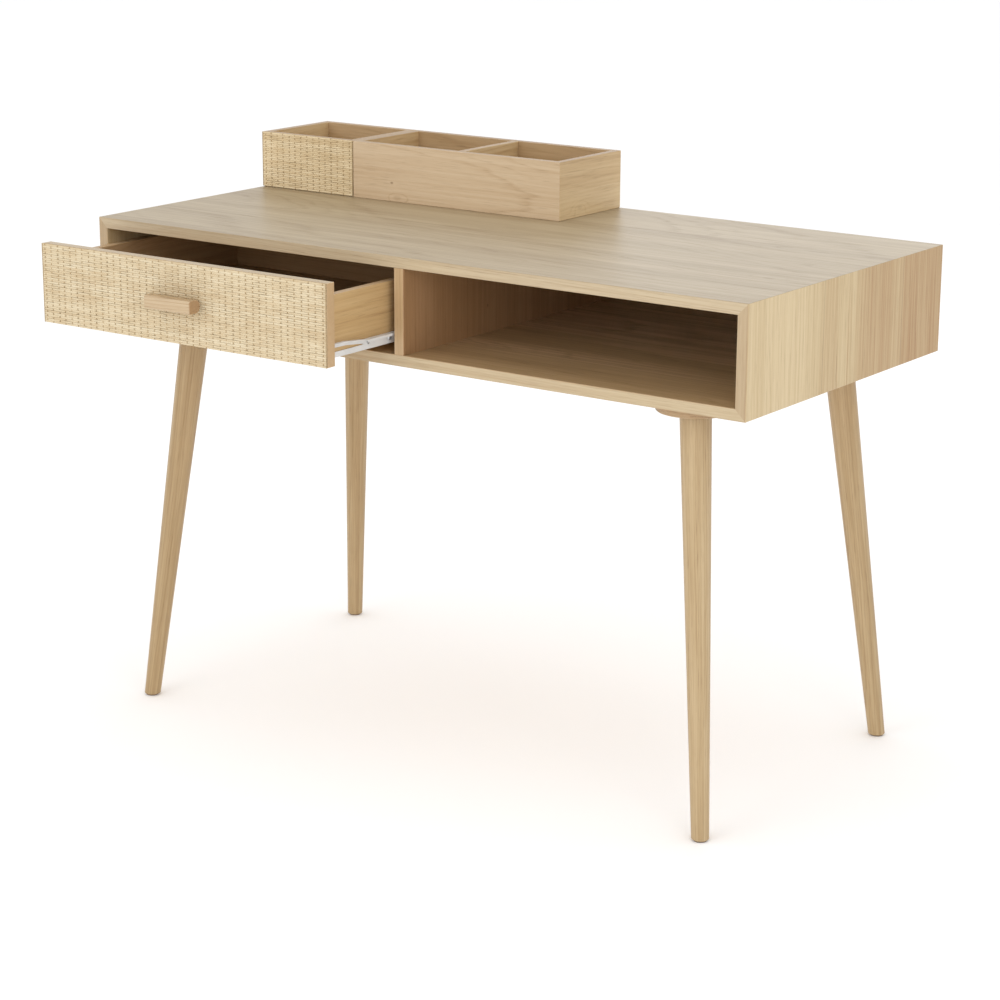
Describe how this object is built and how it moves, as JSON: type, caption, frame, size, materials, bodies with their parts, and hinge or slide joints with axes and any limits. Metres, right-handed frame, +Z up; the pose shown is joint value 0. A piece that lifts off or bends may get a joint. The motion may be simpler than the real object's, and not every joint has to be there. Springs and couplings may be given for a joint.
{
  "type": "desk with under desk drawer",
  "caption": "Writing desk on splayed round legs with an under-desk drawer on roller runners, an open shelf beside it and a desktop organiser tray.",
  "frame": {"origin": "on the floor under the centre of the whole object's bounding box, drawer drawn out 146 mm as at rest", "axes": "+X to the sitter's right along the desktop, +Y from the front to the back, +Z up"},
  "size_m": [1.15, 0.729, 0.855],
  "materials": {
    "oak_veneer": "matt lacquered pale oak veneer",
    "oak_drawer": "matt lacquered pale oak veneer",
    "solid_oak": "matt oiled solid oak",
    "plywood": "plain thin panel",
    "dowel_beech": "fluted beech dowel",
    "woven_cane": "natural split cane woven over thin warps",
    "white_epoxy_steel": "white epoxy powder coat",
    "zinc_steel": "zinc plated",
    "nylon": "white nylon",
    "glide_plastic": "dark nylon glide"
  },
  "bodies": {
    "desk": {"back_panel": "oak_veneer", "back_panel_screws": "zinc_steel", "box_back": "oak_veneer", "box_floor": "plywood", "box_front_backer": "oak_veneer", "box_left_end": "oak_veneer", "box_right_end": "oak_veneer", "box_woven_facing": "woven_cane", "case_floor_panel": "oak_veneer", "case_roller_rivets": "zinc_steel", "desktop_panel": "oak_veneer", "divider_dowels": "dowel_beech", "divider_panel": "oak_veneer", "foot_glide_back_left": "glide_plastic", "foot_glide_back_right": "glide_plastic", "foot_glide_front_left": "glide_plastic", "foot_glide_front_right": "glide_plastic", "left_side_panel": "oak_veneer", "leg_back_left": "solid_oak", "leg_back_right": "solid_oak", "leg_front_left": "solid_oak", "leg_front_right": "solid_oak", "leg_hanger_bolts": "zinc_steel", "leg_plate_back_left": "solid_oak", "leg_plate_back_right": "solid_oak", "leg_plate_front_left": "solid_oak", "leg_plate_front_right": "solid_oak", "leg_plate_screws": "zinc_steel", "mitre_splines": "plywood", "organizer_dowels": "dowel_beech", "organizer_screws": "zinc_steel", "right_side_panel": "oak_veneer", "runner_case_left": "white_epoxy_steel", "runner_case_right": "white_epoxy_steel", "runner_case_screws": "zinc_steel", "tray_back": "oak_veneer", "tray_divider": "oak_veneer", "tray_floor": "plywood", "tray_front": "oak_veneer", "tray_left_end": "oak_veneer", "tray_right_end": "oak_veneer"},
    "drawer": {"drawer_back": "oak_drawer", "drawer_back_screws": "zinc_steel", "drawer_bottom": "plywood", "drawer_dowels": "dowel_beech", "drawer_front_board": "oak_drawer", "drawer_left_side": "oak_drawer", "drawer_right_side": "oak_drawer", "drawer_roller_rivets": "zinc_steel", "drawer_woven_facing": "woven_cane", "handle": "solid_oak", "handle_screws": "zinc_steel", "runner_drawer_left": "white_epoxy_steel", "runner_drawer_right": "white_epoxy_steel", "runner_drawer_screws": "zinc_steel"},
    "case_roller_left": {"case_roller_left": "nylon"},
    "case_roller_right": {"case_roller_right": "nylon"},
    "drawer_roller_left": {"drawer_roller_left": "nylon"},
    "drawer_roller_right": {"drawer_roller_right": "nylon"}
  },
  "joints": [
    {"name": "drawer_slide", "type": "slide", "parent": "desk", "child": "drawer", "axis": [0, -1, 0], "range_m": [-0.146, 0.15]},
    {"name": "case_roller_left_spin", "type": "hinge", "parent": "desk", "child": "case_roller_left", "pos_m": [-0.5515, -0.161, 0.6455], "axis": [1, 0, 0], "continuous": true},
    {"name": "drawer_roller_left_spin", "type": "hinge", "parent": "drawer", "child": "drawer_roller_left", "pos_m": [-0.5532, 0.0688, 0.642], "axis": [1, 0, 0], "continuous": true},
    {"name": "case_roller_right_spin", "type": "hinge", "parent": "desk", "child": "case_roller_right", "pos_m": [-0.01125, -0.161, 0.6455], "axis": [1, 0, 0], "continuous": true},
    {"name": "drawer_roller_right_spin", "type": "hinge", "parent": "drawer", "child": "drawer_roller_right", "pos_m": [-0.00955, 0.0688, 0.642], "axis": [1, 0, 0], "continuous": true}
  ],
  "couplings": [
    {"joint": "case_roller_left_spin", "follows": "drawer_slide", "rad_per_m": 149.25},
    {"joint": "drawer_roller_left_spin", "follows": "drawer_slide", "rad_per_m": 149.25},
    {"joint": "case_roller_right_spin", "follows": "drawer_slide", "rad_per_m": 149.25},
    {"joint": "drawer_roller_right_spin", "follows": "drawer_slide", "rad_per_m": 149.25}
  ]
}
